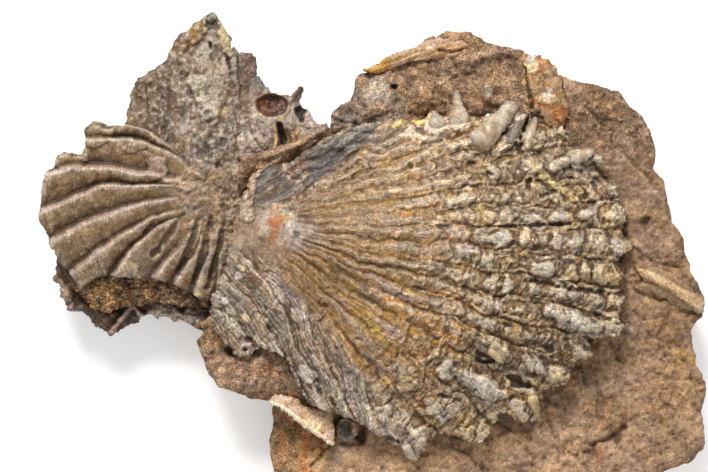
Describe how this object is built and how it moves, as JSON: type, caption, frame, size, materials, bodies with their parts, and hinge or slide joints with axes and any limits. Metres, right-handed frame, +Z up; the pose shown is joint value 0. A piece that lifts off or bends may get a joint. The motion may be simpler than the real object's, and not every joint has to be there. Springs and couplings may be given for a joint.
{
  "type": "fossil bivalve cluster",
  "caption": "Cluster of fossil bivalves: a large ribbed file shell on a flat-based block of brown limestone, with a pleated oyster and smaller shells cemented to its beak end.",
  "frame": {"origin": "middle of the flat cut underside, at the centre of the bounding box", "axes": "+Z up, away from the resting face and out of the ribbed face; +X from the oyster to the broken side of the block; +Y towards the tip of the oyster's wing"},
  "size_m": [0.1678, 0.1228, 0.0476],
  "materials": {
    "limestone": "rough, granular brown limestone, no shine",
    "file_shell": "ochre, cream and grey fossil shell, satin on the crests",
    "oyster_shell": "brown laminated shell with pale pinkish crests, slightly glossy",
    "sediment": "granular brown sediment",
    "pale_shell": "cream to ochre shell fragments, satin",
    "rust_shell": "rust and cream crusted shell, rough"
  },
  "bodies": {
    "root": {"matrix_rock": "limestone", "ribbed_valve": "file_shell", "ribbed_lower_valve": "pale_shell", "disc_shell": "pale_shell", "rim_shell": "pale_shell", "crust_shell": "rust_shell", "shell_splinter": "pale_shell", "cup_oyster": "oyster_shell", "oyster_upper_valve": "oyster_shell", "oyster_lower_valve": "oyster_shell", "oyster_fill": "sediment"}
  },
  "joints": []
}
